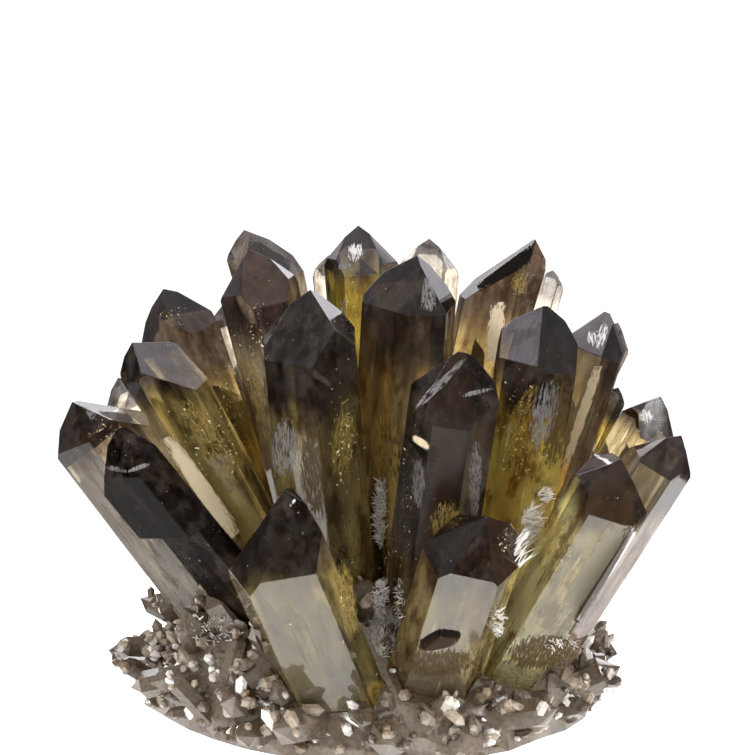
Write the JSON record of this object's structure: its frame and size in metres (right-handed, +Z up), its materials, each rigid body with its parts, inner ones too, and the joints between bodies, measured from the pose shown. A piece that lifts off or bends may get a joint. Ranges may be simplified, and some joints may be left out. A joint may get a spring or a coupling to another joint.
{
  "type": "morion quartz cluster",
  "caption": "Cluster of dark smoky quartz points with pyramid tips that spray up and out of a low rounded mound of small crystals, standing on its flat underside.",
  "frame": {"origin": "middle of the flat underside of the matrix", "axes": "+Z up out of the flat underside, -Y towards the side that is seen first, +X to that viewer's right"},
  "size_m": [0.1526, 0.1555, 0.119],
  "materials": {
    "smoky_quartz": "polished",
    "pale_quartz": "polished",
    "druse": "rough"
  },
  "bodies": {
    "root": {"crystal_back_left_high": "smoky_quartz", "crystal_back_left_tall": "smoky_quartz", "crystal_back_middle_low": "smoky_quartz", "crystal_back_middle_tall": "smoky_quartz", "crystal_back_right_high": "smoky_quartz", "crystal_back_right_outer": "smoky_quartz", "crystal_back_right_tall": "smoky_quartz", "crystal_front_left": "smoky_quartz", "crystal_front_right": "smoky_quartz", "crystal_left_golden": "smoky_quartz", "crystal_left_high_back": "smoky_quartz", "crystal_left_high_brown": "smoky_quartz", "crystal_left_high_pale": "pale_quartz", "crystal_left_high_tan": "smoky_quartz", "crystal_left_low_front": "smoky_quartz", "crystal_left_low_outer": "smoky_quartz", "crystal_left_pale_back": "pale_quartz", "crystal_middle_grey": "smoky_quartz", "crystal_middle_tall_dark": "smoky_quartz", "crystal_right_amber": "smoky_quartz", "crystal_right_high_brown": "smoky_quartz", "crystal_right_high_striped": "smoky_quartz", "crystal_right_high_thin": "pale_quartz", "crystal_right_low_front": "smoky_quartz", "crystal_right_low_outer": "smoky_quartz", "crystal_right_low_pale": "smoky_quartz", "crystal_right_orange_sliver": "smoky_quartz", "crystal_right_pale_back": "pale_quartz", "crystal_side_right_low": "smoky_quartz", "crystal_top_brown": "smoky_quartz", "crystal_top_grey_back": "pale_quartz", "crystal_top_pale_back": "pale_quartz", "crystal_top_yellow": "smoky_quartz", "matrix": "druse"}
  },
  "joints": []
}
